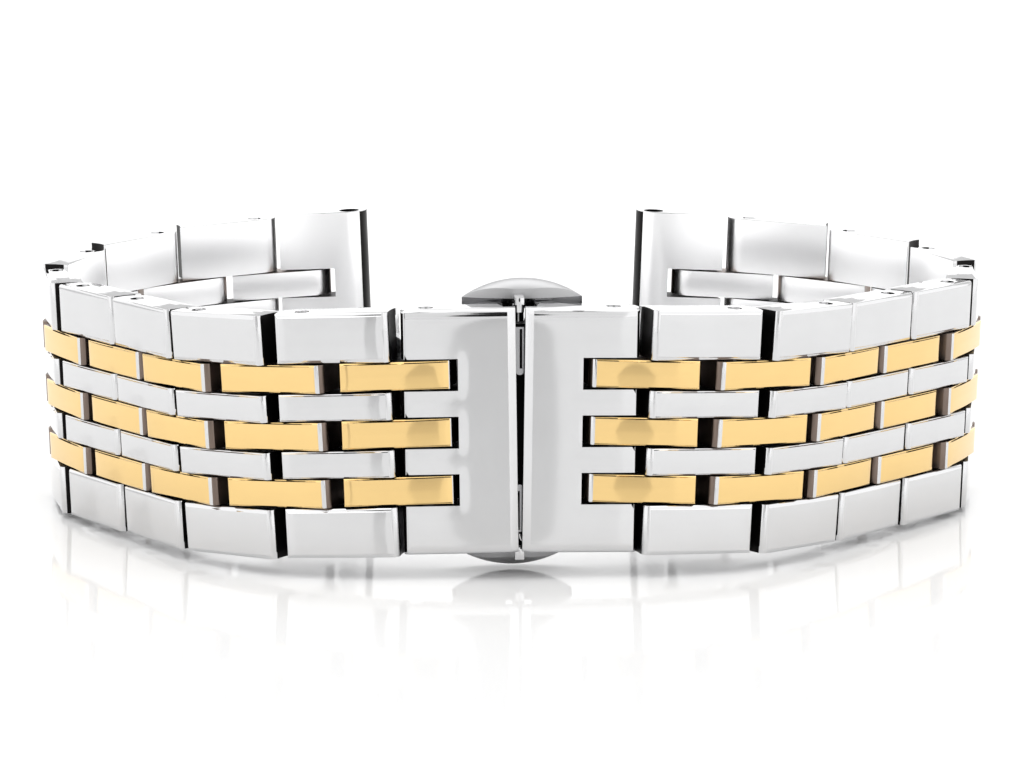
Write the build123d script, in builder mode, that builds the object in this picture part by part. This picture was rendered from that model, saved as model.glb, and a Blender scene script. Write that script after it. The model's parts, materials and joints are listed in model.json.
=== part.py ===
from build123d import *
import math
import os

# Two-tone link watch bracelet, closed at its butterfly clasp and standing on its side edge.
# While it is modelled, X runs along the clasp, the clasp's front face lies at Y = 0 with the
# wrist behind it, and Z = 0 is the middle of the clasp's width. All sizes are in millimetres.

# Driving dimensions of the strand
clasp_width = 20.0
end_width = 22.2
link_thickness = 2.9
half_pitch = 4.85
pin_inset = 2.05
gold_row = 2.3
inner_row = 2.2
row_gap = 0.1
links_per_strand = 18
first_wide_link = 12
corner_radius = 1.9
lip_reach = 0.45
edge_bevel = 0.3
edge_bevel_run = 0.4
small_bevel = 0.12
slot_clearance = 0.15
slot_end_gap = 0.4
end_block_length = 5.45
spring_bar_radius = 0.9
spring_bar_wall = 0.65
cut_overrun = 1.0

# Link pins
pin_radius = 0.55
press_clearance = 0.01
running_clearance = 0.1
pin_recess = 0.12
blind_depth = 1.0

# Clasp
half_length = 9.19
seam_gap = 0.56
seam_bevel_run = 0.8
half_bevel_run = 0.6
slot_floor_run = 0.9
arm_pin_offset = 2.2
arm_pin_depth = 3.0
arm_pin_radius = 0.5
lug_radius = 1.0
lug_recess = 0.05
knuckle_radius = 0.9
base_hinge_offset = 17.0
base_hinge_radius = 1.15
base_pin_radius = 0.5
blade_radius = 60.0
blade_depth = 3.2
blade_thickness = 1.0
blade_gap = 0.3
blade_width = 14.0
blade_side_gap = 0.15
arm_knuckle_width = 8.4
knuckle_side_gap = 0.15
knuckle_clearance = 0.15

# Catch and push buttons
housing_width = 2.0
housing_front = 1.7
housing_fillet = 0.2
housing_clearance = 0.25
button_length = 9.8
button_half_depth = 1.1
button_centre_depth = 5.2
button_reach = 1.88
button_wall = 0.55
button_tuck = 0.5
button_travel = 0.8
press_end_gap = 0.1
stem_plate_width = 0.75
stem_plate_front = 1.5
stem_plate_drop = 0.45
stem_plate_top = 0.3
stem_radius = 0.5
stem_depth = 3.45
stem_length = 4.3
stem_clearance = 0.08
spring_wire = 0.12
spring_coil_radius = 0.42
spring_length = 2.5
spring_turns = 6
hairpin_length = 3.9
hairpin_strip = 0.35
hairpin_width = 0.72
hairpin_thin_strip = 0.16
hairpin_top_gap = 0.2

# How the strands lie in the photograph: the bend at each link pin, in degrees
left_bends = [2.1, 9.8, 12.6, 14.6, 14.6, 6.1, -0.1, 0.2, 7.5,
              14.5, 14.6, 14.5, 12.2, 12.7, 13.6, 10.9, 9.9, 14.5]
right_bends = [-1.2, 14.2, 14.2, 14.6, 8.1, 0.0, -0.2, 0.4, 14.6,
               14.8, 14.7, 14.7, 14.5, 12.5, 11.5, 12.8, 11.4, 6.4]

# The clasp stands on its lower push button, so the strands sag from it to the ground by the play
# of their pins: each link leans a little more than the one before, and slips a little down its pin
arm_lean = 0.4
half_lean = 0.8
lean_step = 0.9
lean_most = 3.5
lean_fall = 0.35
lean_rest = 2.1
steep_links = 4
pin_slip = 0.03
slipping_links = 6

half_thickness = link_thickness / 2
gold_inner = gold_row / 2
inner_low = gold_inner + row_gap
inner_high = inner_low + inner_row
gold_low = inner_high + row_gap
gold_high = gold_low + gold_row
outer_low = gold_high + row_gap
gold_rows = [(-gold_high, -gold_low), (-gold_inner, gold_inner), (gold_low, gold_high)]


def link_width(index):
    """Full width of a link, which grows from the first wide link to the end link."""
    steps = links_per_strand - first_wide_link + 1
    share = max(0, index - first_wide_link + 1) / steps
    return clasp_width + (end_width - clasp_width) * share


def link_outline(low, near, far, run, depth):
    """Side face of a link: scooped at its near end, rounded at its far wrist-side corner."""
    scoop_radius = (corner_radius**2 + lip_reach**2) / (2 * lip_reach)
    arc_height = half_thickness - corner_radius
    lip = near - lip_reach
    with BuildSketch(Plane.XY.offset(low)) as face:
        with BuildLine():
            Polyline((near, arc_height), (near, -half_thickness + depth), (near + run, -half_thickness),
                     (far - run, -half_thickness), (far, -half_thickness + depth), (far, arc_height))
            RadiusArc((far, arc_height), (far - corner_radius, half_thickness), -corner_radius)
            Line((far - corner_radius, half_thickness), (lip, half_thickness))
            RadiusArc((lip, half_thickness), (near, arc_height), scoop_radius)
        make_face()
    return face.sketch


def long_front_edges(plate):
    """The two front edges of a plate that run along the strand."""
    return plate.faces().sort_by(Axis.Y)[0].edges().filter_by(Axis.X)


def plate_shape(low, high, run, depth):
    """One plate of a link, from its low side to its high side."""
    with BuildPart() as plate:
        extrude(link_outline(low, -pin_inset, half_pitch + pin_inset, run, depth), amount=high - low)
        chamfer(long_front_edges(plate), depth)
    return plate.part


def pin_shape(half_span, x=0, y=0, radius=pin_radius):
    """A straight pin across the strand."""
    with BuildPart() as pin:
        with BuildSketch(Plane.XY.offset(-half_span)):
            with Locations((x, y)):
                Circle(radius)
        extrude(amount=2 * half_span)
    return pin.part


def gold_link():
    """Three gold plates that run on the pins of the steel links beside them."""
    with BuildPart() as link:
        for low, high in gold_rows:
            add(plate_shape(low, high, small_bevel, small_bevel))
        for x in (0, half_pitch):
            add(pin_shape(clasp_width, x, radius=pin_radius + running_clearance), mode=Mode.SUBTRACT)
    return link.part


def steel_link(width):
    """Two wide edge plates and two narrow plates, held together by two pressed pins."""
    half = width / 2
    bore = pin_radius + press_clearance
    blind_span = half - blind_depth
    with BuildPart() as link:
        for low, high in [(-half, -outer_low), (outer_low, half)]:
            add(plate_shape(low, high, edge_bevel_run, edge_bevel))
        for low, high in [(-inner_high, -inner_low), (inner_low, inner_high)]:
            add(plate_shape(low, high, small_bevel, small_bevel))
        add(pin_shape(blind_span + press_clearance, 0, radius=bore), mode=Mode.SUBTRACT)
        add(pin_shape(half + cut_overrun, half_pitch, radius=bore), mode=Mode.SUBTRACT)
        add(pin_shape(blind_span, 0))
        add(pin_shape(half - pin_recess, half_pitch))
    return link.part


def end_link(width):
    """Solid end of a strand, slotted for the last gold link, with a cross bore for a spring bar."""
    half = width / 2
    bar_x = end_block_length - spring_bar_radius - spring_bar_wall
    slot_end = pin_inset + slot_end_gap
    blind_span = half - blind_depth
    with BuildPart() as link:
        extrude(link_outline(-half, -pin_inset, end_block_length, edge_bevel_run, edge_bevel), amount=width)
        chamfer(long_front_edges(link), edge_bevel)
        for low, high in gold_rows:
            with BuildSketch(Plane.XY.offset(low - slot_clearance)):
                with Locations((slot_end - half_pitch, 0)):
                    Rectangle(2 * half_pitch, 2 * link_thickness)
            extrude(amount=high - low + 2 * slot_clearance, mode=Mode.SUBTRACT)
        add(pin_shape(blind_span + press_clearance, radius=pin_radius + press_clearance), mode=Mode.SUBTRACT)
        add(pin_shape(half + cut_overrun, bar_x, radius=spring_bar_radius), mode=Mode.SUBTRACT)
        add(pin_shape(blind_span))
    return link.part


def placed(part, plane):
    """A copy of a part drawn on the world planes, set on another plane."""
    with BuildPart(plane) as copy:
        add(part)
    return copy.part


# Places of the links, one plane each, with x along the strand, y to the wrist and z along the pin
def strand_plane(side, point, angle, lean):
    """Plane at a point of the right strand, mirrored to the left for side = -1."""
    turned = Vector(math.cos(math.radians(angle)), math.sin(math.radians(angle)), 0)
    along = turned.rotate(Axis.Y, lean)
    across = Vector(0, 0, 1).rotate(Axis.Y, lean)
    mirrored = Vector(side * along.X, along.Y, along.Z)
    pin_line = Vector(side * across.X, across.Y, across.Z) * side
    return Plane(origin=(side * point.X, point.Y, point.Z), x_dir=mirrored, z_dir=pin_line)


def lean_of(index):
    """Lean of a link, in degrees: growing from the clasp, then easing to that of the back links."""
    if index <= steep_links:
        return min(half_lean + lean_step * index, lean_most)
    return max(lean_rest, lean_most - lean_fall * (index - steep_links))


blade_centre = blade_depth + blade_radius
hinge_arc = blade_radius - blade_thickness - blade_gap / 2
base_hinge_depth = blade_centre - math.sqrt(hinge_arc**2 - base_hinge_offset**2)
arm_rise = (base_hinge_offset - arm_pin_offset) * math.sin(math.radians(arm_lean))
half_pin_offset = seam_gap / 2 + half_length - pin_inset


def strand_planes(side, bends):
    """Planes of a clasp half and of all links of its strand."""
    down = Vector(0, 0, -1).rotate(Axis.Y, half_lean)
    along = Vector(1, 0, 0).rotate(Axis.Y, half_lean)
    point = Vector(arm_pin_offset, half_thickness, arm_rise) + along * (half_pin_offset - arm_pin_offset)
    planes = [strand_plane(side, point, 0, half_lean)]
    angle = 0
    for index in range(1, links_per_strand + 1):
        angle += bends[index - 1]
        lean = lean_of(index)
        down = Vector(0, 0, -1).rotate(Axis.Y, lean)
        if index <= slipping_links:
            point = point + down * pin_slip
        planes.append(strand_plane(side, point, angle, lean))
        along = Vector(math.cos(math.radians(angle)), math.sin(math.radians(angle)), 0)
        point = point + along.rotate(Axis.Y, lean) * half_pitch
    return planes


left_planes = strand_planes(-1, left_bends)
right_planes = strand_planes(1, right_bends)
hinge_point = Vector(base_hinge_offset, base_hinge_depth, 0)
left_arm_plane = strand_plane(-1, hinge_point, 0, arm_lean)
right_arm_plane = strand_plane(1, hinge_point, 0, arm_lean)

pieces = {}

for index in range(1, links_per_strand + 1):
    number = (index + 1) // 2
    if index == links_per_strand:
        shape, kind = end_link(end_width), "end_link"
    elif index % 2 == 1:
        shape, kind = gold_link(), f"gold_link_{number}"
    else:
        shape, kind = steel_link(link_width(index)), f"steel_link_{number}"
    pieces[f"left_{kind}"] = placed(shape, left_planes[index])
    pieces[f"right_{kind}"] = placed(shape, right_planes[index])

# Clasp halves, drawn from their link pin: the seam lies at negative x
seam_x = seam_gap / 2 - half_pin_offset
arm_pin_x = arm_pin_offset - half_pin_offset
arm_pin_y = arm_pin_depth - half_thickness
pocket_edge = housing_width / 2 + housing_clearance - half_pin_offset
pocket_front = housing_front - hairpin_strip - housing_clearance - half_thickness
blade_back = blade_centre - math.sqrt((blade_radius - blade_thickness) ** 2 - arm_pin_offset**2)
lug_low = blade_width / 2 + blade_side_gap
lug_high = clasp_width / 2 - lug_recess
slot_end_front = -pin_inset - slot_end_gap
slot_end_back = slot_end_front - slot_floor_run
seam_side = seam_x - cut_overrun

with BuildPart() as half_cover:
    with BuildSketch(Plane.XY.offset(-clasp_width / 2)):
        with BuildLine():
            front = -half_thickness
            arc_height = half_thickness - corner_radius
            Polyline((pin_inset, arc_height), (pin_inset, front + edge_bevel),
                     (pin_inset - half_bevel_run, front), (seam_x + seam_bevel_run, front),
                     (seam_x, front + edge_bevel), (seam_x, half_thickness),
                     (pin_inset - corner_radius, half_thickness))
            RadiusArc((pin_inset - corner_radius, half_thickness), (pin_inset, arc_height), corner_radius)
        make_face()
    extrude(amount=clasp_width)
    chamfer(long_front_edges(half_cover), edge_bevel)
    # Pocket round the catch housing, and hollow for the arm's knuckle
    with BuildSketch(Plane.XY.offset(-clasp_width / 2)):
        with BuildLine():
            Polyline((seam_side, pocket_front), (pocket_edge, pocket_front), (pocket_edge, link_thickness),
                     (seam_side, link_thickness), close=True)
        make_face()
    extrude(amount=clasp_width, mode=Mode.SUBTRACT)
    with BuildSketch(Plane.XY.offset(-lug_low)):
        with Locations((arm_pin_x, arm_pin_y)):
            Circle(blade_back - arm_pin_depth + knuckle_clearance)
    extrude(amount=2 * lug_low, mode=Mode.SUBTRACT)
    # Lugs that hold the arm's pin
    for low in (-lug_high, lug_low):
        with BuildSketch(Plane.XY.offset(low)):
            with Locations((arm_pin_x, arm_pin_y)):
                Circle(lug_radius)
        extrude(amount=lug_high - lug_low)
    # Slots for the gold plates of the first link
    for low, high in gold_rows:
        with BuildSketch(Plane.XY.offset(low - slot_clearance)):
            with BuildLine():
                Polyline((slot_end_front, -link_thickness), (half_pitch, -link_thickness),
                         (half_pitch, link_thickness), (slot_end_back, link_thickness),
                         (slot_end_back, half_thickness), (slot_end_front, 0), close=True)
            make_face()
        extrude(amount=high - low + 2 * slot_clearance, mode=Mode.SUBTRACT)
    add(pin_shape(clasp_width, radius=pin_radius + press_clearance), mode=Mode.SUBTRACT)
    add(pin_shape(clasp_width, arm_pin_x, arm_pin_y, arm_pin_radius + press_clearance), mode=Mode.SUBTRACT)

# Folding arm, drawn from its hinge on the base plate: its free end lies at negative x
arc_x = -base_hinge_offset
arc_y = blade_centre - base_hinge_depth
tip_x = arm_pin_offset - base_hinge_offset
tip_y = arm_pin_depth - base_hinge_depth


def blade_outline(outer, inner, first, last, x, y):
    """Band between two arcs about the wrist, from one X place to another, at the blade's low side."""
    start = -90 + math.degrees(math.asin(first / outer))
    sweep = math.degrees(math.asin(last / outer)) - math.degrees(math.asin(first / outer))
    with BuildSketch(Plane.XY.offset(-blade_width / 2)) as band:
        with BuildLine():
            front = CenterArc((x, y), outer, start, sweep)
            back = CenterArc((x, y), inner, start, sweep)
            Line(front @ 0, back @ 0)
            Line(front @ 1, back @ 1)
        make_face()
    return band.sketch


arm_outer = blade_radius
arm_inner = blade_radius - blade_thickness
base_outer = arm_inner - blade_gap
base_inner = base_outer - blade_thickness
base_knuckle_low = arm_knuckle_width / 2 + knuckle_side_gap
relief_low = base_knuckle_low - knuckle_side_gap / 2
relief_high = blade_width / 2 + cut_overrun

with BuildPart() as arm:
    extrude(blade_outline(arm_outer, arm_inner, arm_pin_offset, base_hinge_offset, arc_x, arc_y),
            amount=blade_width)
    with BuildSketch(Plane.XY.offset(-blade_width / 2)):
        with Locations((tip_x, tip_y)):
            Circle(knuckle_radius)
    extrude(amount=blade_width)
    for low in (-relief_high, relief_low):
        with BuildSketch(Plane.XY.offset(low)):
            Circle(base_hinge_radius + knuckle_clearance)
        extrude(amount=relief_high - relief_low, mode=Mode.SUBTRACT)
    with BuildSketch(Plane.XY.offset(-arm_knuckle_width / 2)):
        Circle(base_hinge_radius)
    extrude(amount=arm_knuckle_width)
    add(pin_shape(blade_width, radius=base_pin_radius + running_clearance), mode=Mode.SUBTRACT)
    add(pin_shape(blade_width, tip_x, tip_y, arm_pin_radius + running_clearance), mode=Mode.SUBTRACT)

with BuildPart() as base_plate:
    extrude(blade_outline(base_outer, base_inner, -base_hinge_offset, base_hinge_offset, 0, blade_centre),
            amount=blade_width)
    with BuildSketch(Plane.XY.offset(-base_knuckle_low)):
        with Locations((-base_hinge_offset, base_hinge_depth), (base_hinge_offset, base_hinge_depth)):
            Circle(base_hinge_radius + knuckle_clearance)
    extrude(amount=2 * base_knuckle_low, mode=Mode.SUBTRACT)
    for low in (-blade_width / 2, base_knuckle_low):
        with BuildSketch(Plane.XY.offset(low)):
            with Locations((-base_hinge_offset, base_hinge_depth), (base_hinge_offset, base_hinge_depth)):
                Circle(base_hinge_radius)
        extrude(amount=blade_width / 2 - base_knuckle_low)
    for x in (-base_hinge_offset, base_hinge_offset):
        add(pin_shape(blade_width, x, base_hinge_depth, base_pin_radius + press_clearance), mode=Mode.SUBTRACT)

# Catch housing on the base plate, with a bore from each end for a button's stem and spring
# The housing ends just short of a pressed button's foot
base_front = blade_centre - base_outer
button_foot = clasp_width / 2 - button_tuck
housing_height = 2 * (button_foot - button_travel - press_end_gap)
bore_floor = housing_height / 2 - stem_length - spring_length
with BuildPart() as catch_housing:
    with BuildSketch(Plane.XY.offset(-housing_height / 2)):
        with Locations((0, (housing_front + base_front) / 2)):
            Rectangle(housing_width, base_front - housing_front)
    extrude(amount=housing_height)
    fillet(catch_housing.edges().filter_by(Axis.Z).group_by(Axis.Y)[0], housing_fillet)
    for direction in (1, -1):
        with BuildSketch(Plane.XY.offset(direction * housing_height / 2)):
            with Locations((0, stem_depth)):
                Circle(stem_radius + stem_clearance)
        extrude(amount=-direction * (housing_height / 2 - bore_floor), mode=Mode.SUBTRACT)

# Push button for the top, from its dome down to its stem
button_top = clasp_width / 2 + button_reach
lens_radius = ((button_length / 2) ** 2 + button_half_depth**2) / (2 * button_half_depth)
dome_rise = button_reach - button_wall
dome_long_radius = ((button_length / 2) ** 2 + dome_rise**2) / (2 * dome_rise)
dome_short_radius = (button_half_depth**2 + dome_rise**2) / (2 * dome_rise)
dome_middle = button_top - (dome_long_radius + dome_short_radius) / 2
stem_end = housing_height / 2 - stem_length

with BuildPart() as dome_form:
    with BuildSketch(Plane.YZ):
        with Locations((button_centre_depth, button_top - dome_short_radius)):
            Circle(dome_short_radius)
        with Locations((button_centre_depth, dome_middle)):
            Rectangle(2 * dome_short_radius, dome_long_radius - dome_short_radius)
        with Locations((button_centre_depth, button_top - dome_long_radius)):
            Rectangle(4 * dome_short_radius, dome_long_radius, align=(Align.CENTER, Align.MAX),
                      mode=Mode.SUBTRACT)
    revolve(axis=Axis((0, button_centre_depth, button_top - dome_long_radius), (0, 1, 0)), revolution_arc=360)

with BuildPart() as push_button:
    with BuildSketch(Plane.XY.offset(button_foot)):
        with Locations((0, button_centre_depth)):
            with BuildLine():
                tip = button_length / 2
                RadiusArc((-tip, button_centre_depth), (tip, button_centre_depth), lens_radius)
                RadiusArc((-tip, button_centre_depth), (tip, button_centre_depth), -lens_radius)
            make_face()
    extrude(amount=button_top - button_foot)
    add(dome_form.part, mode=Mode.INTERSECT)
    with BuildSketch(Plane.XY.offset(clasp_width / 2 - stem_plate_drop)):
        with Locations((0, stem_plate_front)):
            Rectangle(stem_plate_width, button_centre_depth - stem_plate_front, align=(Align.CENTER, Align.MIN))
    extrude(amount=stem_plate_drop + stem_plate_top)
    with BuildSketch(Plane.XY.offset(stem_end)):
        with Locations((0, stem_depth)):
            Circle(stem_radius)
    extrude(amount=clasp_width / 2 - stem_end)

with BuildPart() as return_spring:
    with BuildLine() as coil:
        Helix(pitch=(spring_length - spring_wire) / spring_turns, height=spring_length - spring_wire,
              radius=spring_coil_radius, center=(0, stem_depth, bore_floor + spring_wire / 2))
    with BuildSketch(Plane(origin=coil.line @ 0, z_dir=coil.line % 0)):
        Circle(spring_wire / 2)
    sweep(is_frenet=True)

with BuildPart() as hairpin:
    top = housing_height / 2 - hairpin_top_gap
    with BuildSketch(Plane.XZ.offset(-housing_front)):
        with Locations((0, top - hairpin_length / 2)):
            SlotOverall(hairpin_length, hairpin_width, rotation=90)
        with Locations((0, top)):
            Rectangle(hairpin_width, hairpin_width, align=(Align.CENTER, Align.MAX))
        slit_width = hairpin_width - hairpin_strip - hairpin_thin_strip
        slit_x = -hairpin_width / 2 + hairpin_strip + slit_width / 2
        slit_height = hairpin_length - hairpin_width / 2 - 2 * hairpin_thin_strip
        with Locations((slit_x, top - hairpin_thin_strip)):
            Rectangle(slit_width, slit_height, align=(Align.CENTER, Align.MAX), mode=Mode.SUBTRACT)
    extrude(amount=hairpin_strip)


below = Plane(origin=(0, 0, 0), x_dir=(-1, 0, 0), z_dir=(0, 0, -1))

for side_name, side, planes, arm_plane in (
    ("left", -1, left_planes, left_arm_plane),
    ("right", 1, right_planes, right_arm_plane),
):
    hinge_x = side * base_hinge_offset
    pieces[f"clasp_half_{side_name}"] = placed(half_cover.part, planes[0])
    pieces[f"clasp_link_pin_{side_name}"] = placed(pin_shape(clasp_width / 2 - pin_recess), planes[0])
    pieces[f"arm_pin_{side_name}"] = placed(
        pin_shape(lug_high, arm_pin_x, arm_pin_y, arm_pin_radius), planes[0])
    pieces[f"folding_arm_{side_name}"] = placed(arm.part, arm_plane)
    pieces[f"base_pin_{side_name}"] = pin_shape(blade_width / 2, hinge_x, base_hinge_depth, base_pin_radius)

pieces["base_plate"] = base_plate.part
pieces["catch_housing"] = catch_housing.part
for place, plane in (("top", Plane.XY), ("bottom", below)):
    pieces[f"push_button_{place}"] = placed(push_button.part, plane)
    pieces[f"return_spring_{place}"] = placed(return_spring.part, plane)
    pieces[f"catch_spring_{place}"] = placed(hairpin.part, plane)

# The origin goes to the middle of the bracelet's box, on the ground that it stands on
boxes = [piece.bounding_box() for piece in pieces.values()]
low_x = min(box.min.X for box in boxes)
high_x = max(box.max.X for box in boxes)
low_y = min(box.min.Y for box in boxes)
high_y = max(box.max.Y for box in boxes)
low_z = min(box.min.Z for box in boxes)
to_ground = Location((-(low_x + high_x) / 2, -(low_y + high_y) / 2, -low_z))

os.makedirs("parts", exist_ok=True)
for name, piece in pieces.items():
    standing = piece.moved(to_ground)
    standing.label = name
    export_step(standing, f"parts/{name}.step")

print("width", round(high_x - low_x, 2), "depth", round(high_y - low_y, 2), "moved by", to_ground.position)
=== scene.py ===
# %% [markdown]
# # A two-tone link watch bracelet
#
# The bracelet stands on its side edge, bent into an open ring, with its closed clasp to the front.
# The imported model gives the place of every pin. Each kind of plate is modelled here once, at the
# origin and in millimetres, as on a maker's bench, and its copies are then set on the pins.

# %% Load the frame
import json
import math

import bpy
from mathutils import Matrix, Vector


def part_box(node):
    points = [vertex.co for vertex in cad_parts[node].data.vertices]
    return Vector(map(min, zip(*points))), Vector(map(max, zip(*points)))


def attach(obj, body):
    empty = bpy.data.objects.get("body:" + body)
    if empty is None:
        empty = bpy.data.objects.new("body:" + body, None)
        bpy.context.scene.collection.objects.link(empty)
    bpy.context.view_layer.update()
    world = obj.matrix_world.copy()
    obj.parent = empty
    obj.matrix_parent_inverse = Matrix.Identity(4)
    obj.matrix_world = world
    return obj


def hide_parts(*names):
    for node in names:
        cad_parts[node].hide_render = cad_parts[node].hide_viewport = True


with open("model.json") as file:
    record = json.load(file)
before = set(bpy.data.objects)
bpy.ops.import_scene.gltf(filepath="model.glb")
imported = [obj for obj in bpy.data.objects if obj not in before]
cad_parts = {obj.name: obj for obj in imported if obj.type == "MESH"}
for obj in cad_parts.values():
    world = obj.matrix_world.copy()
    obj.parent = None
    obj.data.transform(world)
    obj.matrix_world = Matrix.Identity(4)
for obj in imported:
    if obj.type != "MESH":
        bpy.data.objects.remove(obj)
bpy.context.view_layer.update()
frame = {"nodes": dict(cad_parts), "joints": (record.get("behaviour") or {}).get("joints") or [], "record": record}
MM = 0.001
joints = {joint["name"]: joint for joint in frame["joints"]}
mounts = {mount["name"]: mount for mount in frame["record"]["mounts"]}

# %% [markdown]
# ## Polished metal
#
# Mirror-polished steel has almost no colour of its own: it shows the room. What tells it from a
# perfect mirror is its faint polishing haze, so the roughness is low but never even, and very fine
# buffing lines bend the reflection a little. The colour wanders too, by a few percent. The pattern
# reads Object coordinates, because every piece has its place in its mesh, so the pattern stays on
# the metal when a link moves.


# %% A metal with uneven polish
def polished_metal(name, colour, roughness, haze, line_depth, line_stretch):
    """Metal whose roughness wanders by haze, with buffing lines that run along line_stretch."""
    material = bpy.data.materials.new(name)
    material.use_nodes = True
    nodes, links = material.node_tree.nodes, material.node_tree.links
    shader = nodes["Principled BSDF"]
    shader.inputs["Metallic"].default_value = 1.0
    tint = nodes.new("ShaderNodeMix")
    tint.data_type = "RGBA"
    tint.inputs["A"].default_value = (*colour, 1)
    tint.inputs["B"].default_value = (*(part * TARNISH for part in colour), 1)
    place = nodes.new("ShaderNodeTexCoord")
    cloud = nodes.new("ShaderNodeTexNoise")
    cloud.inputs["Scale"].default_value = CLOUD_SCALE
    cloud.inputs["Detail"].default_value = 3
    spread = nodes.new("ShaderNodeMapRange")
    spread.inputs["To Min"].default_value = roughness
    spread.inputs["To Max"].default_value = roughness + haze
    stretch = nodes.new("ShaderNodeMapping")
    stretch.inputs["Scale"].default_value = line_stretch
    buffing = nodes.new("ShaderNodeTexNoise")
    buffing.inputs["Scale"].default_value = LINE_SCALE
    buffing.inputs["Detail"].default_value = 2
    bump = nodes.new("ShaderNodeBump")
    bump.inputs["Distance"].default_value = line_depth
    links.new(place.outputs["Object"], cloud.inputs["Vector"])
    links.new(cloud.outputs["Fac"], tint.inputs["Factor"])
    links.new(tint.outputs["Result"], shader.inputs["Base Color"])
    links.new(cloud.outputs["Fac"], spread.inputs["Value"])
    links.new(spread.outputs["Result"], shader.inputs["Roughness"])
    links.new(place.outputs["Object"], stretch.inputs["Vector"])
    links.new(stretch.outputs["Vector"], buffing.inputs["Vector"])
    links.new(buffing.outputs["Fac"], bump.inputs["Height"])
    links.new(bump.outputs["Normal"], shader.inputs["Normal"])
    return material


CLOUD_SCALE = 260
LINE_SCALE = 900
TARNISH = 0.93
UP_AND_DOWN = (1, 1, 0.04)
ALONG = (0.1, 0.1, 1)
steel = polished_metal("polished_steel", (0.655, 0.655, 0.66), 0.03, 0.04, 0.0000002, UP_AND_DOWN)
gold = polished_metal("gold_plating", (0.83, 0.585, 0.255), 0.03, 0.04, 0.0000004, UP_AND_DOWN)
blade_steel = polished_metal("blade_steel", (0.70, 0.70, 0.71), 0.12, 0.10, 0.000002, ALONG)
spring_steel = polished_metal("spring_steel", (0.38, 0.38, 0.39), 0.15, 0.08, 0.000001, UP_AND_DOWN)
print("mirror finishes:", steel.name, gold.name, blade_steel.name, spring_steel.name)

# %% [markdown]
# ## Lightened satin, and painted shade in the gaps
#
# A buffing wheel only polishes what it touches, and the side that lies on the wrist is left satin. Its
# colour is near white, lighter than the polished steel: painted light. The ends and inner sides of the
# plates are painted near black: painted shade. They show only in the gaps, and make the gaps between mirror-bright
# plates look black.

# %% Lightened satin and painted shade
# Satin wrist side, near white and lighter than the polished steel: painted light, so that the inner sides of the
# ring come out light.
satin_painted_light = polished_metal("satin_painted_light", (0.97, 0.97, 0.975), 0.30, 0.08, 0.000001, UP_AND_DOWN)
# Near black for the ends and inner sides of the plates: painted shade in the gaps.
gap_shade_steel = polished_metal("gap_shade_steel", (0.014, 0.013, 0.013), 0.35, 0.2, 0.000004, UP_AND_DOWN)
# Dark brownish grey for the ends and inner sides of the gold plates: painted shade in the gaps.
gold_gap_shade = polished_metal("gold_gap_shade", (0.20, 0.155, 0.13), 0.25, 0.2, 0.000004, UP_AND_DOWN)
# Dark grey for the low wall of the push buttons: painted shade under the dome.
wall_shade_steel = polished_metal("wall_shade_steel", (0.17, 0.17, 0.175), 0.12, 0.1, 0.000001, ALONG)
# Near-black catch housing: painted shade in the seam between the clasp halves.
housing_shade_black = polished_metal("housing_shade_black", (0.003, 0.003, 0.003), 0.35, 0.2, 0.000004,
                               UP_AND_DOWN)
# Duller, darker steel for the button domes: painted shade for the grey that the domes reflect.
dome_shade_steel = polished_metal("dome_shade_steel", (0.48, 0.48, 0.485), 0.42, 0.1, 0.000001, ALONG)
print("unpolished finishes:", satin_painted_light.name, gap_shade_steel.name, gold_gap_shade.name, dome_shade_steel.name)

# %% [markdown]
# ## Bench tools
#
# Every plate starts as a box, gets its round corner, its scooped end and its chamfers, and is then
# polished: its front is divided into a grid, bent to a wide radius and lowered a little near its
# rims, as a buffing wheel does. These helpers choose edges and faces by place or direction.


# %% Choose and cut
def only(piece):
    """Makes one piece the only selected and active object."""
    bpy.ops.object.select_all(action="DESELECT")
    piece.select_set(True)
    bpy.context.view_layer.objects.active = piece


def choose(piece, kind, test):
    """Opens a piece for editing with only the edges or faces selected that pass the test."""
    only(piece)
    mesh = piece.data
    for items in (mesh.vertices, mesh.edges, mesh.polygons):
        items.foreach_set("select", [False] * len(items))
    if kind == "EDGE":
        for edge in mesh.edges:
            first, last = (mesh.vertices[v].co for v in edge.vertices)
            edge.select = test((first + last) / 2, (last - first).normalized())
    else:
        for face in mesh.polygons:
            face.select = test(face.center, face.normal)
    bpy.context.tool_settings.mesh_select_mode = (False, kind == "EDGE", kind == "FACE")
    bpy.ops.object.mode_set(mode="EDIT")


def close_edit():
    bpy.ops.object.mode_set(mode="OBJECT")


def block(name, low, high):
    """A box between two corners."""
    low, high = Vector(low), Vector(high)
    bpy.ops.object.select_all(action="DESELECT")
    bpy.ops.mesh.primitive_cube_add(size=1, location=(low + high) / 2, scale=high - low)
    piece = bpy.context.object
    piece.name = name
    bpy.ops.object.transform_apply(location=True, rotation=True, scale=True)
    return piece


def rod(name, x, y, radius, low, high, sides=32):
    """A round bar across the strand, from a low to a high place."""
    bpy.ops.object.select_all(action="DESELECT")
    bpy.ops.mesh.primitive_cylinder_add(vertices=sides, radius=radius, depth=high - low,
                                        location=(x, y, (low + high) / 2))
    piece = bpy.context.object
    piece.name = name
    bpy.ops.object.transform_apply(location=True, rotation=True, scale=True)
    return piece


def combine(piece, tool, operation="DIFFERENCE"):
    """Cuts a piece with a tool, joins the two, or keeps what they share; the tool is used up."""
    change = piece.modifiers.new("combine", "BOOLEAN")
    change.operation = operation
    change.solver = "EXACT"
    change.object = tool
    only(piece)
    bpy.ops.object.modifier_apply(modifier=change.name)
    bpy.data.objects.remove(tool)


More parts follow.
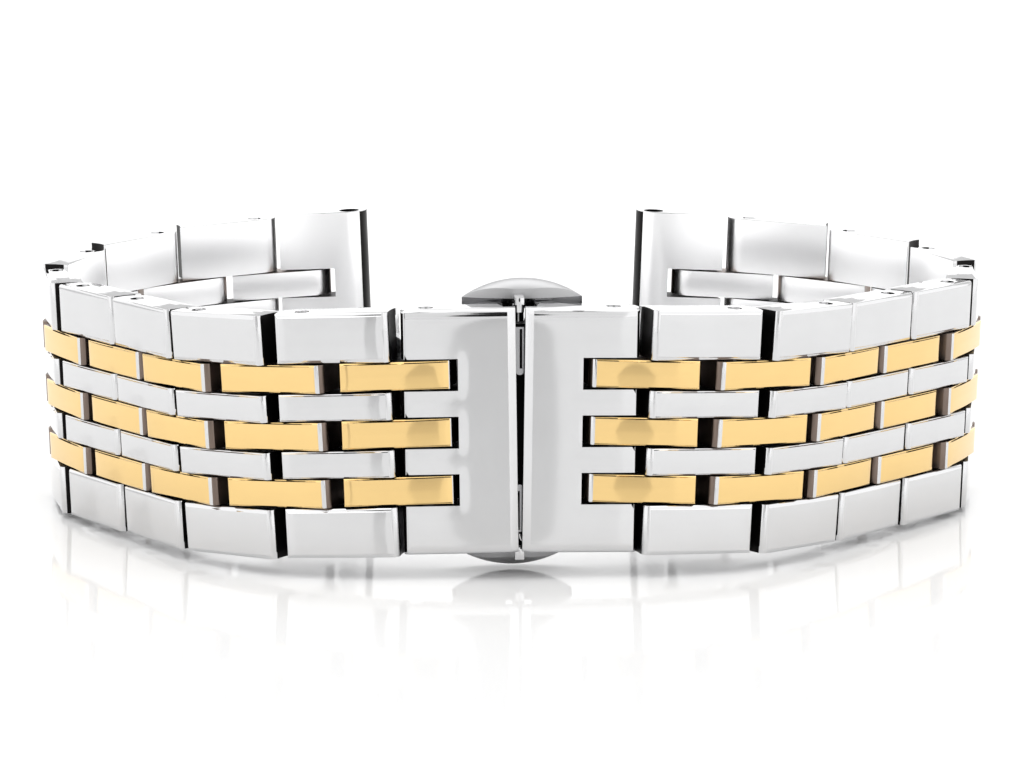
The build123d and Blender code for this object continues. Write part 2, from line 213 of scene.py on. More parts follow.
def join(name, members):
    """One object made of several, which keeps their materials."""
    bpy.ops.object.select_all(action="DESELECT")
    for member in members:
        member.select_set(True)
    bpy.context.view_layer.objects.active = members[0]
    bpy.ops.object.join()
    members[0].name = name
    return members[0]


EDGE_ROUND = 0.035
SHARP = math.radians(25)


def soften_edges(piece, width=EDGE_ROUND):
    """A very small round on every sharp edge, so that the edges catch the light."""
    rounding = piece.modifiers.new("soft_edges", "BEVEL")
    rounding.width = width
    rounding.segments = 2
    rounding.limit_method = "ANGLE"
    rounding.angle_limit = SHARP
    only(piece)
    bpy.ops.object.modifier_apply(modifier=rounding.name)


# %% [markdown]
# ## The profile of a plate
#
# All plates share one side profile. The far end is rounded on the wrist side about its own pin, and
# the near end has a lip that reaches under the neighbour's round corner, so that no gap opens when
# the strand bends.

# %% Profile sizes, in millimetres
THICKNESS = 2.9
FRONT = -THICKNESS / 2
PIN_INSET = 2.05
CORNER_RADIUS = 1.9
LIP_REACH = 0.45
CORNER_STEPS = 8
ROUND_STEPS = 4
END_STEPS = 6
FACING = 0.5
SCOOP_STEPS = 4
second_pin, third_pin = (Vector(joints[f"left_hinge_{k}"]["pos_m"]) for k in (2, 3))
HALF_PITCH = round((second_pin - third_pin).length / MM, 2)
ARC_HEIGHT = THICKNESS / 2 - CORNER_RADIUS
SCOOP_RADIUS = (CORNER_RADIUS**2 + LIP_REACH**2) / (2 * LIP_REACH)
TOUCH = 0.001
print("pin distance", HALF_PITCH, "mm")


# %% Box to plate
def plate_body(name, low, high, near, far):
    """A plate with its round far corner and its scooped near end, still with a sharp front."""
    piece = block(name, (near - LIP_REACH, FRONT, low), (far, -FRONT, high))
    choose(piece, "EDGE", lambda middle, way: middle.x > far - TOUCH and middle.y > -FRONT - TOUCH)
    bpy.ops.mesh.bevel(offset=CORNER_RADIUS, offset_type="OFFSET", segments=CORNER_STEPS, affect="EDGES")
    close_edit()
    for step in range(SCOOP_STEPS):
        choose(piece, "FACE", lambda centre, normal: True)
        height = ARC_HEIGHT + CORNER_RADIUS * step / SCOOP_STEPS
        bpy.ops.mesh.bisect(plane_co=(0, height, 0), plane_no=(0, 1, 0))
        close_edit()
    for vertex in piece.data.vertices:
        if vertex.co.x < near - LIP_REACH + TOUCH:
            above = max(0, vertex.co.y - ARC_HEIGHT)
            vertex.co.x = near - (SCOOP_RADIUS - math.sqrt(SCOOP_RADIUS**2 - above**2))
    return piece


def round_front(piece, width, near, near_round):
    """Rounds the edges all round the front, with a wider round at the near end."""
    choose(piece, "EDGE", lambda middle, way: middle.y < FRONT + TOUCH and middle.x < near + TOUCH)
    bpy.ops.mesh.bevel(offset=near_round, offset_type="OFFSET", segments=END_STEPS, affect="EDGES")
    close_edit()
    choose(piece, "EDGE", lambda middle, way: middle.y < FRONT + TOUCH and (
        abs(way.x) > FACING or middle.x > near + 2 * near_round))
    bpy.ops.mesh.bevel(offset=width, offset_type="OFFSET", segments=ROUND_STEPS, affect="EDGES")
    close_edit()


# %% [markdown]
# ## Polishing the front
#
# A flat mirror would show one even tone. The real fronts are bent a little along the strand and
# rolled at their rims, which gives the curved outlines of their reflections. The grid has to be fine
# enough that the shading follows the bend.

# %% Bend and roll a front
FRONT_ZONE = 0.6
FACE_RADIUS = 75
ROLL_DEPTH = 0.022
ROLL_WIDTH = 1.3


def rim_distance(x, z, rims, slots):
    """Distance from a place on the front to the nearest rim or slot."""
    left, right, bottom, top = rims
    nearest = min(x - left, right - x, z - bottom, top - z)
    for slot_start, slot_end, slot_low, slot_high in slots:
        along = max(slot_start - x, x - slot_end, 0)
        across = max(slot_low - z, z - slot_high, 0)
        nearest = min(nearest, math.hypot(along, across))
    return nearest


def polish_front(piece, cuts, radius, centre, slots=(), flat_near=0):
    """Divides the front into a grid, bends it about a place on x, and rolls its rims.

    The near rim counts as lying farther out by flat_near, so that it can stay unrolled."""
    front = [face for face in piece.data.polygons
             if face.normal.y < -1 + TOUCH and face.center.y < FRONT + TOUCH]
    corners = [piece.data.vertices[v].co for v in max(front, key=lambda face: face.area).vertices]
    rims = (min(c.x for c in corners) - flat_near, max(c.x for c in corners),
            min(c.z for c in corners), max(c.z for c in corners))
    choose(piece, "FACE", lambda middle, normal: normal.y < -1 + TOUCH and middle.y < FRONT + TOUCH)
    bpy.ops.mesh.subdivide(number_cuts=cuts)
    close_edit()
    for vertex in piece.data.vertices:
        x, y, z = vertex.co
        if y > FRONT + FRONT_ZONE:
            continue
        near_rim = max(0, 1 - max(0, rim_distance(x, z, rims, slots)) / ROLL_WIDTH)
        vertex.co.y += ROLL_DEPTH * near_rim**2 + (x - centre) ** 2 / (2 * radius)


# %% [markdown]
# ## Gold rows
#
# Each gold link is three narrow plates. The plating covers only the front and its small chamfers;
# polished steel shows on the round of the near end. The ends and inner sides, which show in the gaps,
# are painted a dark brownish grey: painted shade. So each plate carries several materials, chosen by the
# direction of the face. The first link on the left is plated up to its end, which has a tighter round.

# %% Rows across the width, in millimetres
GOLD_ROW = 2.3
INNER_ROW = 2.2
ROW_GAP = 0.1
SMALL_ROUND = 0.14
EDGE_ROUNDING = 0.3
GOLD_END_ROUND = 0.65
STEEL_END_ROUND = 0.5
STEEL_NEAR = -PIN_INSET - 0.28
inner_low = GOLD_ROW / 2 + ROW_GAP
inner_high = inner_low + INNER_ROW
gold_low = inner_high + ROW_GAP
gold_high = gold_low + GOLD_ROW
outer_low = gold_high + ROW_GAP
GOLD_ROWS = [(-gold_high, -gold_low), (-GOLD_ROW / 2, GOLD_ROW / 2), (gold_low, gold_high)]
FRONT_CUTS = 14
FAR_END = HALF_PITCH + PIN_INSET


def paint(piece, *metals, choice=None):
    """Gives a piece one metal, or one of several that choice picks for each face."""
    piece.data.materials.clear()
    for metal in metals:
        piece.data.materials.append(metal)
    if choice:
        for face in piece.data.polygons:
            face.material_index = choice(face.center, face.normal)
    only(piece)
    bpy.ops.object.shade_smooth_by_angle(angle=SHARP)


TURNED_AWAY = 0.3
STILL_BRIGHT = 0.78


def plate_finish(outward=0, bare_round=None):
    """Front finish 0, lightened wrist side 1, ends and inner sides 2 in painted shade; outward is the polished
    edge's side.

    Where a bare round is given, the plating stops at that place on x, and 3 follows up to the end."""
    def choice(centre, normal):
        if bare_round and centre.x < bare_round and abs(normal.z) < FACING:
            return 3 if normal.y < -STILL_BRIGHT else 1 if normal.y > FACING else 2
        if normal.y < -TURNED_AWAY or normal.z * outward > FACING:
            return 0
        return 1 if normal.y > FACING else 2
    return choice


def simple_plate(name, low, high, front_metal, end_shade_metal, radius, near, near_round):
    """A narrow plate with small rounds; a plated one is bare steel on the round of its near end."""
    piece = plate_body(name, low, high, near, FAR_END)
    round_front(piece, SMALL_ROUND, near, near_round)
    soften_edges(piece)
    polish_front(piece, FRONT_CUTS, radius, HALF_PITCH / 2)
    plated = front_metal is gold
    paint(piece, front_metal, satin_painted_light, end_shade_metal, steel,
          choice=plate_finish(bare_round=near + near_round - EDGE_ROUND if plated else None))
    return piece


GOLD_RADIUS = 50
FIRST_END_ROUND = 0.3


def gold_link(name, end_shade_metal, near_round):
    """The three plates of a gold link."""
    plates = [simple_plate("gold_plate", low, high, gold, end_shade_metal, GOLD_RADIUS, -PIN_INSET, near_round)
              for low, high in GOLD_ROWS]
    return join(name, plates)


gold_pattern = gold_link("gold_link_pattern", gold_gap_shade, GOLD_END_ROUND)
first_pattern = gold_link("first_gold_link_pattern", gap_shade_steel, FIRST_END_ROUND)
print("gold link:", len(gold_pattern.data.polygons), "faces")

# %% [markdown]
# ## Steel links
#
# Two wide edge plates and two narrow ones, pressed onto two pins. One pin ends in a bore that shows
# on the edge of the strand as a small dark ring. Towards the case the edge plates grow wider.

# %% Steel link pattern
PIN_RADIUS = 0.55
PIN_PLAY = 0.05
PIN_RECESS = 0.12
BORE_DEPTH = 0.45
CUT_PAST = 1
EDGE_CUTS = 16


def edge_plate(name, half_width, side):
    """A wide plate at one edge of the strand, with the bore of its pin; side is 1 or -1."""
    low, high = sorted((side * outer_low, side * half_width))
    piece = plate_body(name, low, high, STEEL_NEAR, FAR_END)
    round_front(piece, EDGE_ROUNDING, STEEL_NEAR, STEEL_END_ROUND)
    soften_edges(piece)
    start, end = sorted((side * (half_width - BORE_DEPTH), side * (half_width + CUT_PAST)))
    combine(piece, rod("bore", HALF_PITCH, 0, PIN_RADIUS + PIN_PLAY, start, end))
    polish_front(piece, EDGE_CUTS, FACE_RADIUS, HALF_PITCH / 2)
    # The ends and inner sides carry the near-black painted shade of the gaps.
    paint(piece, steel, satin_painted_light, gap_shade_steel, choice=plate_finish(side))
    return piece


def pin_end(half_width, x, y, radius):
    """The pin whose two ends lie just inside the bores."""
    piece = rod("pin", x, y, radius, -half_width + PIN_RECESS, half_width - PIN_RECESS)
    soften_edges(piece, PIN_PLAY)
    paint(piece, steel)
    return piece


def steel_pattern(half_width):
    """All plates and pins of a steel link of a given width."""
    members = [edge_plate("edge_plate", half_width, 1), edge_plate("edge_plate", half_width, -1)]
    for low, high in ((inner_low, inner_high), (-inner_high, -inner_low)):
        members.append(simple_plate("inner_plate", low, high, steel, gap_shade_steel, FACE_RADIUS,
                                    STEEL_NEAR, STEEL_END_ROUND))
    members.append(pin_end(half_width, HALF_PITCH, 0, PIN_RADIUS))
    return join("steel_link_pattern", members)


# %% [markdown]
# ## Setting links on their pins
#
# A link's place follows from its two pins: x runs from the near pin to the far one, z lies along
# them, and y is square to both, towards the wrist.


# %% Link places
def pin_place(name):
    joint = joints[name]
    return Vector(joint["pos_m"]), Vector(joint["axis"]).normalized()


def place_of(origin, along, pin_line):
    """Matrix that sets a pattern in millimetres at its place in metres."""
    z = pin_line.normalized()
    x = (along - along.dot(z) * z).normalized()
    y = z.cross(x)
    turned = Matrix((x, y, z)).transposed().to_4x4()
    return Matrix.Translation(origin) @ turned @ Matrix.Scale(MM, 4)


def set_copy(pattern, name, body, place, slot, *nodes):
    """A copy of a pattern with its own mesh, set in place on its body."""
    mesh = pattern.data.copy()
    mesh.transform(place)
    piece = bpy.data.objects.new(name, mesh)
    bpy.context.scene.collection.objects.link(piece)
    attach(piece, body)
    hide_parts(*nodes)
    return piece


LINKS = 18
SIDES = ("left", "right")
link_places = {}
for side in SIDES:
    for index in range(1, LINKS):
        here, line = pin_place(f"{side}_hinge_{index}")
        there, next_line = pin_place(f"{side}_hinge_{index + 1}")
        link_places[side, index] = place_of(here, there - here, line + next_line)
    here, line = pin_place(f"{side}_hinge_{LINKS}")
    bore = Vector(mounts[f"spring_bar_bore_{side}"]["pos_m"])
    link_places[side, LINKS] = place_of(here, bore - here, line)
print("places:", len(link_places))

# %% Set the gold and steel links
CLASP_WIDTH = 20.0
END_WIDTH = 22.2
FIRST_WIDE_LINK = 12


def width_of(index):
    """Width of a link: even at first, then growing to the end link."""
    share = max(0, index - FIRST_WIDE_LINK + 1) / (LINKS - FIRST_WIDE_LINK + 1)
    return CLASP_WIDTH + (END_WIDTH - CLASP_WIDTH) * share


steel_widths = sorted({width_of(index) for index in range(2, LINKS, 2)})
steel_patterns = {width: steel_pattern(width / 2) for width in steel_widths}
for side in SIDES:
    for index in range(1, LINKS):
        number = (index + 1) // 2
        kind = "gold" if index % 2 else "steel"
        node = f"{side}_{kind}_link_{number}"
        pattern = gold_pattern if kind == "gold" else steel_patterns[width_of(index)]
        if node == "left_gold_link_1":
            pattern = first_pattern
        slot = "gold" if kind == "gold" else "polished_steel"
        set_copy(pattern, node + "_polished", node, link_places[side, index], slot, node)
print("steel widths:", [round(width, 2) for width in steel_widths])

# %% [markdown]
# ## End links
#
# The strand ends in a solid piece that would hold the watch case. It is one block, slotted for the
# three plates of the last gold link and bored across for the case's spring bar.

# %% End link
END_BLOCK_LENGTH = 5.45
SLOT_CLEARANCE = 0.15
SLOT_END_GAP = 0.4
SPRING_BAR_RADIUS = 0.9
SPRING_BAR_WALL = 0.65
DEEP = 3 * THICKNESS


def slot_outlines(start, end):
    """The slots for a gold link's three plates, as places on the front."""
    return [(start, end, low - SLOT_CLEARANCE, high + SLOT_CLEARANCE) for low, high in GOLD_ROWS]


def cut_slots(piece, outlines, front=-DEEP, back=DEEP):
    for start, end, low, high in outlines:
        combine(piece, block("slot", (start, front, low), (end, back, high)))


end_pattern = plate_body("end_link_pattern", -END_WIDTH / 2, END_WIDTH / 2, -PIN_INSET, END_BLOCK_LENGTH)
round_front(end_pattern, EDGE_ROUNDING, -PIN_INSET, STEEL_END_ROUND)
soften_edges(end_pattern)
end_slots = slot_outlines(-DEEP, PIN_INSET + SLOT_END_GAP)
polish_front(end_pattern, EDGE_CUTS, FACE_RADIUS, HALF_PITCH / 2, end_slots)
cut_slots(end_pattern, end_slots)
bar_x = END_BLOCK_LENGTH - SPRING_BAR_RADIUS - SPRING_BAR_WALL
combine(end_pattern, rod("spring_bar_bore", bar_x, 0, SPRING_BAR_RADIUS, -END_WIDTH, END_WIDTH))


def block_finish(half_width, deepest):
    """The same three finishes on a slotted block, whose slot walls and ends lie below its front and take the
    painted shade of the gaps.
    """
    def choice(centre, normal):
        if centre.y < FRONT + deepest and normal.y < -FACING or abs(centre.z) > half_width - deepest:
            return 0
        return 1 if normal.y > FACING and centre.y > -FRONT - deepest else 2
    return choice


# The slot walls and ends carry the near-black painted shade of the gaps.
paint(end_pattern, steel, satin_painted_light, gap_shade_steel, choice=block_finish(END_WIDTH / 2, FRONT_ZONE))
end_pattern = join("end_link_pattern", [end_pattern, pin_end(END_WIDTH / 2, 0, 0, PIN_RADIUS)])
for side in SIDES:
    node = f"{side}_end_link"
    set_copy(end_pattern, node + "_polished", node, link_places[side, LINKS], "polished_steel", node)
print("end link:", len(end_pattern.data.polygons), "faces")

# %% [markdown]
# ## Clasp halves
#
# Each half is a cover with three slots at its outer end, where the first gold link runs. Its long
# chamfer at the seam shows as a lighter strip, and its top and bottom edges are rounded. Both fronts
# follow one wide curve about the seam, so their rims there are not rolled. Behind them lie a pocket
# for the catch and a hollow for the arm's knuckle.

# %% Clasp half pattern, drawn from its link pin with the seam at negative x
SEAM_GAP = 0.56
HALF_LENGTH = 9.19
SEAM_CHAMFER_RUN = 0.66
OUTER_CHAMFER_RUN = 0.2
HALF_CHAMFER = 0.3
CLASP_RADIUS = 187
HALF_CUTS = 40
ARM_PIN = (2.2, 3.0)
LUG_RADIUS = 1.0
HOLLOW_RADIUS = 1.39
HOLLOW_HALF_WIDTH = 7.15
LUG_END = 9.95
POCKET_EDGE = 1.25
POCKET_FRONT = 1.1
seam_to_pin = SEAM_GAP / 2 + HALF_LENGTH - PIN_INSET
seam_x = SEAM_GAP / 2 - seam_to_pin
half_width = CLASP_WIDTH / 2

half_pattern = block("clasp_half_pattern", (seam_x, FRONT, -half_width), (PIN_INSET, -FRONT, half_width))
choose(half_pattern, "EDGE", lambda middle, way: middle.x > PIN_INSET - TOUCH and middle.y > -FRONT - TOUCH)
bpy.ops.mesh.bevel(offset=CORNER_RADIUS, offset_type="OFFSET", segments=CORNER_STEPS, affect="EDGES")
close_edit()
choose(half_pattern, "EDGE", lambda middle, way: middle.y < FRONT + TOUCH and abs(way.z) > FACING)
bpy.ops.mesh.bevel(offset=HALF_CHAMFER, offset_type="OFFSET", segments=1, affect="EDGES")
close_edit()
for vertex in half_pattern.data.vertices:
    if vertex.co.y < FRONT + TOUCH:
        at_seam = vertex.co.x < seam_x + HALF_CHAMFER + TOUCH
        at_end = vertex.co.x > PIN_INSET - HALF_CHAMFER - TOUCH
        vertex.co.x += (SEAM_CHAMFER_RUN - HALF_CHAMFER) * at_seam
        vertex.co.x -= (OUTER_CHAMFER_RUN - HALF_CHAMFER) * at_end
choose(half_pattern, "EDGE", lambda middle, way: middle.y < FRONT + HALF_CHAMFER - TOUCH and (
    abs(middle.z) > half_width - TOUCH))
bpy.ops.mesh.bevel(offset=EDGE_ROUNDING, offset_type="OFFSET", segments=ROUND_STEPS, affect="EDGES")
close_edit()
soften_edges(half_pattern)
half_slots = slot_outlines(-PIN_INSET - SLOT_END_GAP, DEEP)
polish_front(half_pattern, HALF_CUTS, CLASP_RADIUS, -seam_to_pin, half_slots, flat_near=ROLL_WIDTH)
print("clasp half, polished:", len(half_pattern.data.polygons), "faces")

# %% Openings and lugs of the clasp half
cut_slots(half_pattern, half_slots)
deeper = slot_outlines(-PIN_INSET - SLOT_END_GAP - 2 * LIP_REACH, DEEP)
cut_slots(half_pattern, deeper, front=0)
combine(half_pattern, block("pocket", (seam_x - CUT_PAST, POCKET_FRONT + FRONT, -half_width - CUT_PAST),
                            (POCKET_EDGE - seam_to_pin, DEEP, half_width + CUT_PAST)))
arm_x = ARM_PIN[0] - seam_to_pin
arm_y = ARM_PIN[1] + FRONT
combine(half_pattern, rod("hollow", arm_x, arm_y, HOLLOW_RADIUS, -HOLLOW_HALF_WIDTH, HOLLOW_HALF_WIDTH))
for low, high in ((-LUG_END, -HOLLOW_HALF_WIDTH), (HOLLOW_HALF_WIDTH, LUG_END)):
    combine(half_pattern, rod("lug", arm_x, arm_y, LUG_RADIUS, low, high), "UNION")
for x, y in ((0, 0), (arm_x, arm_y)):
    for low, high in ((-half_width - CUT_PAST, BORE_DEPTH - half_width),
                      (half_width - BORE_DEPTH, half_width + CUT_PAST)):
        combine(half_pattern, rod("bore", x, y, PIN_RADIUS + PIN_PLAY, low, high))
# The slot walls, pocket and ends carry the near-black painted shade of the gaps.
paint(half_pattern, steel, satin_painted_light, gap_shade_steel, choice=block_finish(half_width, FRONT_ZONE))
print("clasp half:", len(half_pattern.data.polygons), "faces")

# %% Set the clasp halves
for side in SIDES:
    here, line = pin_place(f"{side}_hinge_1")
    across = line if side == "right" else -line
    upward = across if across.z > 0 else -across
    outward = Vector((0, 1, 0)).cross(upward)
    outward = outward if (side == "right") == (outward.x > 0) else -outward
    place = place_of(here, outward, outward.cross(Vector((0, 1, 0))))
    node = f"clasp_half_{side}"
    set_copy(half_pattern, node + "_polished", f"half_{side}", place, "polished_steel", node)

# %% [markdown]
# ## Push buttons
#
# Seen from above a button is a slim lens, and its dome falls to a low wall. The lens is what two
# large cylinders share, and the dome comes from a wheel with a full round rim: the top of such a
# wheel is curved gently along the clasp and tightly across it. A flat stem joins it to the catch.
# The dome lies a little off the middle, as the top one does in the photograph.

# %% Push button sizes, in millimetres, from the front middle of the clasp
BUTTON_LENGTH = 9.8
BUTTON_HALF_DEPTH = 1.1
BUTTON_DEPTH = 5.2
BUTTON_REACH = 1.82
BUTTON_WALL = 0.28
BUTTON_TUCK = 0.5
STEM_WIDTH = 0.75
STEM_FRONT = 1.5
STEM_DROP = 0.45
STEM_TOP = 0.75
STEM_RADIUS = 0.5
STEM_DEPTH = 3.45
STEM_END = 4.3
FINE_SIDES = 160
DOME_SHIFT = 0.4
BUTTON_SOFT = 0.05
RIM_SHARE = 0.99
RIM_STEPS = 12
lens_radius = ((BUTTON_LENGTH / 2) ** 2 + BUTTON_HALF_DEPTH**2) / (2 * BUTTON_HALF_DEPTH)
dome_rise = BUTTON_REACH - BUTTON_WALL
long_radius = ((BUTTON_LENGTH / 2) ** 2 + dome_rise**2) / (2 * dome_rise)
short_radius = (BUTTON_HALF_DEPTH**2 + dome_rise**2) / (2 * dome_rise)
foot = half_width - BUTTON_TUCK
top = half_width + BUTTON_REACH

# %% Button dome
lens_offset = lens_radius - BUTTON_HALF_DEPTH
dome, lens_side = (rod(name, DOME_SHIFT, BUTTON_DEPTH + offset, lens_radius, foot, top + CUT_PAST, FINE_SIDES)
                   for name, offset in (("dome", -lens_offset), ("lens_side", lens_offset)))
combine(dome, lens_side, "INTERSECT")
bpy.ops.object.select_all(action="DESELECT")
wheel_height = top - long_radius
bpy.ops.mesh.primitive_cylinder_add(vertices=FINE_SIDES, radius=long_radius, depth=2 * short_radius,
                                    location=(DOME_SHIFT, BUTTON_DEPTH, wheel_height),
                                    rotation=(math.pi / 2, 0, 0))
wheel = bpy.context.object
bpy.ops.object.transform_apply(location=True, rotation=True, scale=True)
choose(wheel, "EDGE", lambda middle, way: abs(middle.y - BUTTON_DEPTH) > short_radius - TOUCH)
bpy.ops.mesh.bevel(offset=short_radius * RIM_SHARE, offset_type="OFFSET", segments=RIM_STEPS, affect="EDGES")
close_edit()
combine(dome, wheel, "INTERSECT")
soften_edges(dome, BUTTON_SOFT)
choose(dome, "FACE", lambda centre, normal: True)
wall_top = half_width + BUTTON_WALL
bpy.ops.mesh.bisect(plane_co=(0, 0, wall_top), plane_no=(0, 0, 1))
close_edit()
# The dome gets the darker grey steel of the buttons and the wall below wall_top a dark grey: both painted shade.
paint(dome, dome_shade_steel, wall_shade_steel, choice=lambda centre, normal: int(centre.z < wall_top))
print("dome:", len(dome.data.polygons), "faces,", "top at", round(top, 2), "mm")

# %% Stem and setting
plate_stem = block("plate_stem", (-STEM_WIDTH / 2, STEM_FRONT, half_width - STEM_DROP),
                   (STEM_WIDTH / 2, BUTTON_DEPTH, half_width + STEM_TOP))
round_stem = rod("round_stem", 0, STEM_DEPTH, STEM_RADIUS, STEM_END, half_width)
for stem in (plate_stem, round_stem):
    soften_edges(stem, BUTTON_SOFT)
    paint(stem, steel)
button_pattern = join("button_pattern", [dome, plate_stem, round_stem])
housing_low, housing_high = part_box("catch_housing")
HOUSING_FRONT = 1.7 * MM
clasp_middle = Vector(((housing_low.x + housing_high.x) / 2, housing_low.y - HOUSING_FRONT,
                       (housing_low.z + housing_high.z) / 2))
for place_name, up in (("top", 1), ("bottom", -1)):
    place = place_of(clasp_middle, Vector((up, 0, 0)), Vector((0, 0, up)))
    node = f"push_button_{place_name}"
    set_copy(button_pattern, node + "_polished", f"button_{place_name}", place, "polished_steel", node)

# %% Clear the bench
for pattern in (gold_pattern, first_pattern, *steel_patterns.values(),
                end_pattern, half_pattern, button_pattern):
    bpy.data.objects.remove(pattern)

# %% [markdown]
# ## Arms, springs and pins
#
# The folding arms, the base plate and the springs already have their full shape in the imported model.
# They only get their finish: brushed along their length for the arms, drawn wire for the springs.
# The catch housing is painted near black, a painted shade, so that the seam between the clasp halves looks black.

# %% Finish of the parts that keep their imported shape
slots = {part["node"]: part["material_slot"] for part in frame["record"]["subparts"]}
finishes = {"polished_steel": steel, "inner_steel": blade_steel, "spring_steel": spring_steel, "gold": gold}
for node, piece in frame["nodes"].items():
    piece.data.materials.clear()
    # The catch housing gets the near-black painted shade of the seam.
    piece.data.materials.append(housing_shade_black if node == "catch_housing" else finishes[slots[node]])

# %% [markdown]
# ## The studio
#
# The bracelet stands on a glossy white table in a white tent. Polished metal shows mostly what is
# around it, so the tent matters as much as the metal. The fronts reflect the table, and the table,
# seen at a low angle, reflects in turn what stands behind the camera. A dark lens puts the grey field
# on the clasp, a stand the dark line beside it, and a dim curtain the slightly darker plates.

# %% Table
TABLE_SIZE = 6.0
bpy.ops.object.select_all(action="DESELECT")
bpy.ops.mesh.primitive_plane_add(size=TABLE_SIZE, location=(0, 0, 0))
table = bpy.context.object
table.name = "studio_table"
RESIN_IOR = 1.17


def cast_sheet(name, light, dark, smooth, rough, grain, glow=0):
    """A sheet cast from white or black resin, a little uneven in tone and gloss.

    Glow is the strength of its own light, for a sheet that is lit from behind."""
    material = bpy.data.materials.new(name)
    material.use_nodes = True
    nodes, links = material.node_tree.nodes, material.node_tree.links
    shader = nodes["Principled BSDF"]
    shader.inputs["IOR"].default_value = RESIN_IOR
    shader.inputs["Emission Color"].default_value = (1, 1, 1, 1)
    shader.inputs["Emission Strength"].default_value = glow
    place = nodes.new("ShaderNodeTexCoord")
    cloud = nodes.new("ShaderNodeTexNoise")
    cloud.inputs["Scale"].default_value = grain
    tone = nodes.new("ShaderNodeMix")
    tone.data_type = "RGBA"
    tone.inputs["A"].default_value = (light, light, light, 1)
    tone.inputs["B"].default_value = (dark, dark, dark, 1)
    gloss = nodes.new("ShaderNodeMapRange")
    gloss.inputs["To Min"].default_value = smooth
    gloss.inputs["To Max"].default_value = rough
    links.new(place.outputs["Object"], cloud.inputs["Vector"])
    links.new(cloud.outputs["Fac"], tone.inputs["Factor"])
    links.new(tone.outputs["Result"], shader.inputs["Base Color"])
    links.new(cloud.outputs["Fac"], gloss.inputs["Value"])
    links.new(gloss.outputs["Result"], shader.inputs["Roughness"])
    return material


table.data.materials.append(cast_sheet("table_paint", 0.77, 0.74, 0.05, 0.07, 8))


# %% Panels and places in front of the clasp, in metres and degrees to the right of it
SHEET = 0.01


def panel(name, x, y, low, high, width):
    """An upright panel that faces the clasp."""
    bpy.ops.object.select_all(action="DESELECT")
    bpy.ops.mesh.primitive_cube_add(size=1, location=(x, y, (low + high) / 2),
                                    scale=(width, SHEET, high - low))
    piece = bpy.context.object
    piece.name = name
    return piece


def places_at(distance, *angles):
    """Where these directions from the clasp meet an upright plane at a distance, as x."""
    return [clasp_middle.x + distance * math.tan(math.radians(angle)) for angle in angles]


# %% World
TENT_LIGHT = 1.5
world = bpy.data.worlds.new("white_tent")
bpy.context.scene.world = world
world.use_nodes = True
background = world.node_tree.nodes["Background"]
background.inputs["Color"].default_value = (1, 1, 1, 1)
background.inputs["Strength"].default_value = TENT_LIGHT

# %% Dark lens that the clasp reflects
LENS_DISTANCE = 0.45
LENS_LOW = -1.8
LENS_HIGH = 6.0
LENS_HEIGHT = 0.075
LENS_TALL = 1.4
LENS_SIDES = 64
lens_x = places_at(LENS_DISTANCE, LENS_LOW, LENS_HIGH)
lens_middle = sum(lens_x) / 2
lens_y = clasp_middle.y - LENS_DISTANCE
bpy.ops.object.select_all(action="DESELECT")
bpy.ops.mesh.primitive_cylinder_add(vertices=LENS_SIDES, radius=(lens_x[1] - lens_x[0]) / 2, depth=SHEET,
                                    location=(lens_middle, lens_y, LENS_HEIGHT),
                                    rotation=(math.pi / 2, 0, 0), scale=(1, LENS_TALL, 1))
lens = bpy.context.object
lens.name = "studio_lens"
lens.data.materials.append(cast_sheet("lens_black", 0.012, 0.008, 0.5, 0.7, 40))

# %% Camera body over the lens, a thin dark mark in the rounded top edges
BODY_WIDE = 0.045
BODY_LOW = 0.12
BODY_HIGH = 0.50
BODY_BEHIND = 0.02
body_card = panel("studio_body", lens_middle, lens_y - BODY_BEHIND, BODY_LOW, BODY_HIGH, BODY_WIDE)
body_card.data.materials.append(cast_sheet("body_black", 0.015, 0.01, 0.5, 0.7, 40))

# %% Light stand at the left, a dark upright line in the plates beside the clasp
STAND_X = -0.142
STAND_TALL = 0.5
STAND_WIDE = 0.032
STAND_SIDES = 32
bpy.ops.object.select_all(action="DESELECT")
bpy.ops.mesh.primitive_cylinder_add(vertices=STAND_SIDES, radius=STAND_WIDE / 2, depth=STAND_TALL,
                                    location=(STAND_X, lens_y, STAND_TALL / 2))
stand = bpy.context.object
stand.name = "studio_stand"
stand.data.materials.append(cast_sheet("stand_black", 0.02, 0.012, 0.4, 0.6, 40))

# %% Curtain lit from behind, dimmer than the tent, behind lens and stand
CURTAIN_GLOW = 1.05
CURTAIN_LOW = -33.0
CURTAIN_HIGH = 10.4
CURTAIN_DISTANCE = 0.55
CURTAIN_TALL = 0.35
curtain_x = places_at(CURTAIN_DISTANCE, CURTAIN_LOW, CURTAIN_HIGH)
curtain = panel("studio_curtain", sum(curtain_x) / 2, clasp_middle.y - CURTAIN_DISTANCE,
                0, CURTAIN_TALL, curtain_x[1] - curtain_x[0])
curtain.data.materials.append(cast_sheet("curtain_grey", 0.05, 0.04, 0.6, 0.8, 6, glow=CURTAIN_GLOW))

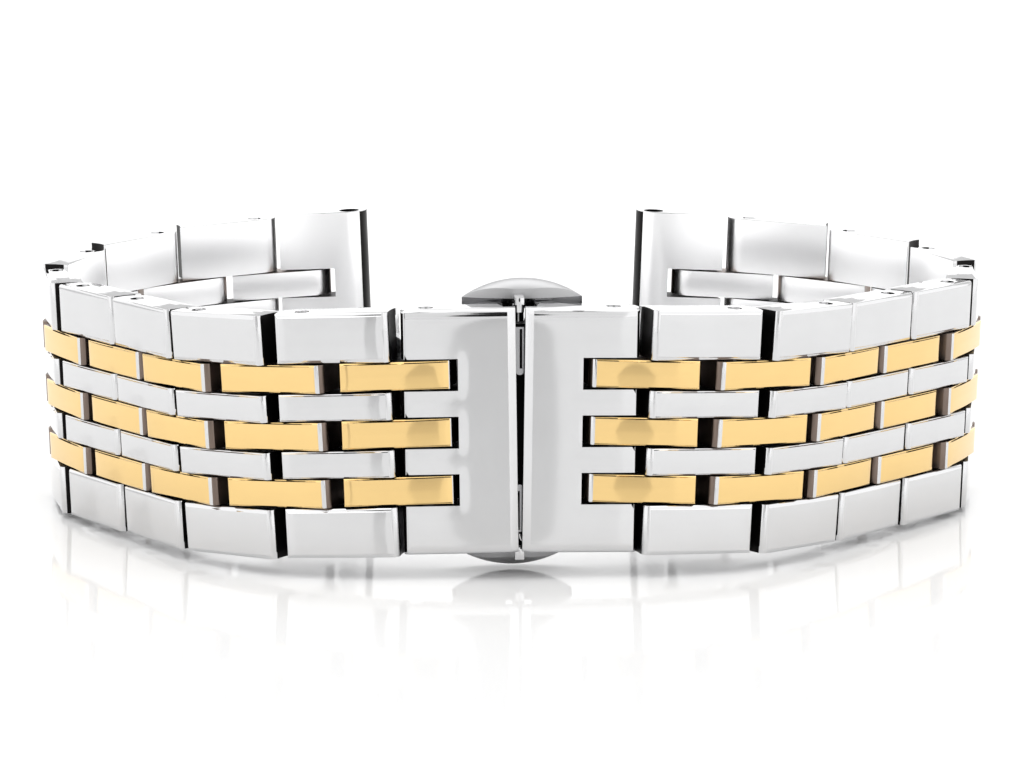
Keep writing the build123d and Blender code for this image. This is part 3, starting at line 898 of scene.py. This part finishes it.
# %% Grey card above the background, which the domes of the buttons reflect
CARD_DISTANCE = 1.2
CARD_LOW = 0.5
CARD_HIGH = 2.2
CARD_WIDTH = 4.0
card = panel("studio_card", 0, CARD_DISTANCE, CARD_LOW, CARD_HIGH, CARD_WIDTH)
card.data.materials.append(cast_sheet("card_grey", 0.70, 0.66, 0.6, 0.8, 20))

# %% [markdown]
# ## Camera and light
#
# A long lens from a short way above the table, a little to one side of the seam. One soft light from
# above adds to the even light of the tent, so that the table comes out white.

# %% Camera
FOCAL_PIXELS = 4718
PICTURE_WIDTH = 1024
SENSOR = 36.0
PITCH = math.radians(10.11)
YAW = math.radians(3.26)
CAMERA_DISTANCE = 372.4 * MM
CAMERA_HEIGHT = 80.4 * MM
CAMERA_SIDE = -0.70 * MM
camera_data = bpy.data.cameras.new("camera")
camera = bpy.data.objects.new("camera", camera_data)
bpy.context.scene.collection.objects.link(camera)
bpy.context.scene.camera = camera
camera_data.sensor_width = SENSOR
camera_data.lens = FOCAL_PIXELS / PICTURE_WIDTH * SENSOR
camera_data.clip_start = 0.01
camera_data.clip_end = 20
seam = clasp_middle - Vector((0, 0, half_width * MM))
across = Vector((math.cos(YAW), -math.sin(YAW), 0))
ahead = Vector((math.sin(YAW), math.cos(YAW), 0))
camera.location = seam + across * CAMERA_SIDE - ahead * CAMERA_DISTANCE + Vector((0, 0, CAMERA_HEIGHT))
looking = ahead * math.cos(PITCH) + Vector((0, 0, -math.sin(PITCH)))
camera.rotation_euler = looking.to_track_quat("-Z", "Y").to_euler()
print("camera at", [round(c / MM, 1) for c in camera.location], "mm")


# %% Lights
def soft_box(name, location, target, size, power):
    """A square soft light that looks at a target."""
    data = bpy.data.lights.new(name, "AREA")
    data.shape = "SQUARE"
    data.size = size
    data.energy = power
    light = bpy.data.objects.new(name, data)
    bpy.context.scene.collection.objects.link(light)
    light.location = location
    light.rotation_euler = (Vector(target) - Vector(location)).to_track_quat("-Z", "Y").to_euler()
    return light


LIGHT_PLACE = (0, 0.05, 0.6)
LIGHT_SIZE = 0.8
LIGHT_POWER = 1.5
soft_box("top_light", LIGHT_PLACE, (0, 0, 0), LIGHT_SIZE, LIGHT_POWER)
bpy.context.scene.view_settings.view_transform = "Standard"
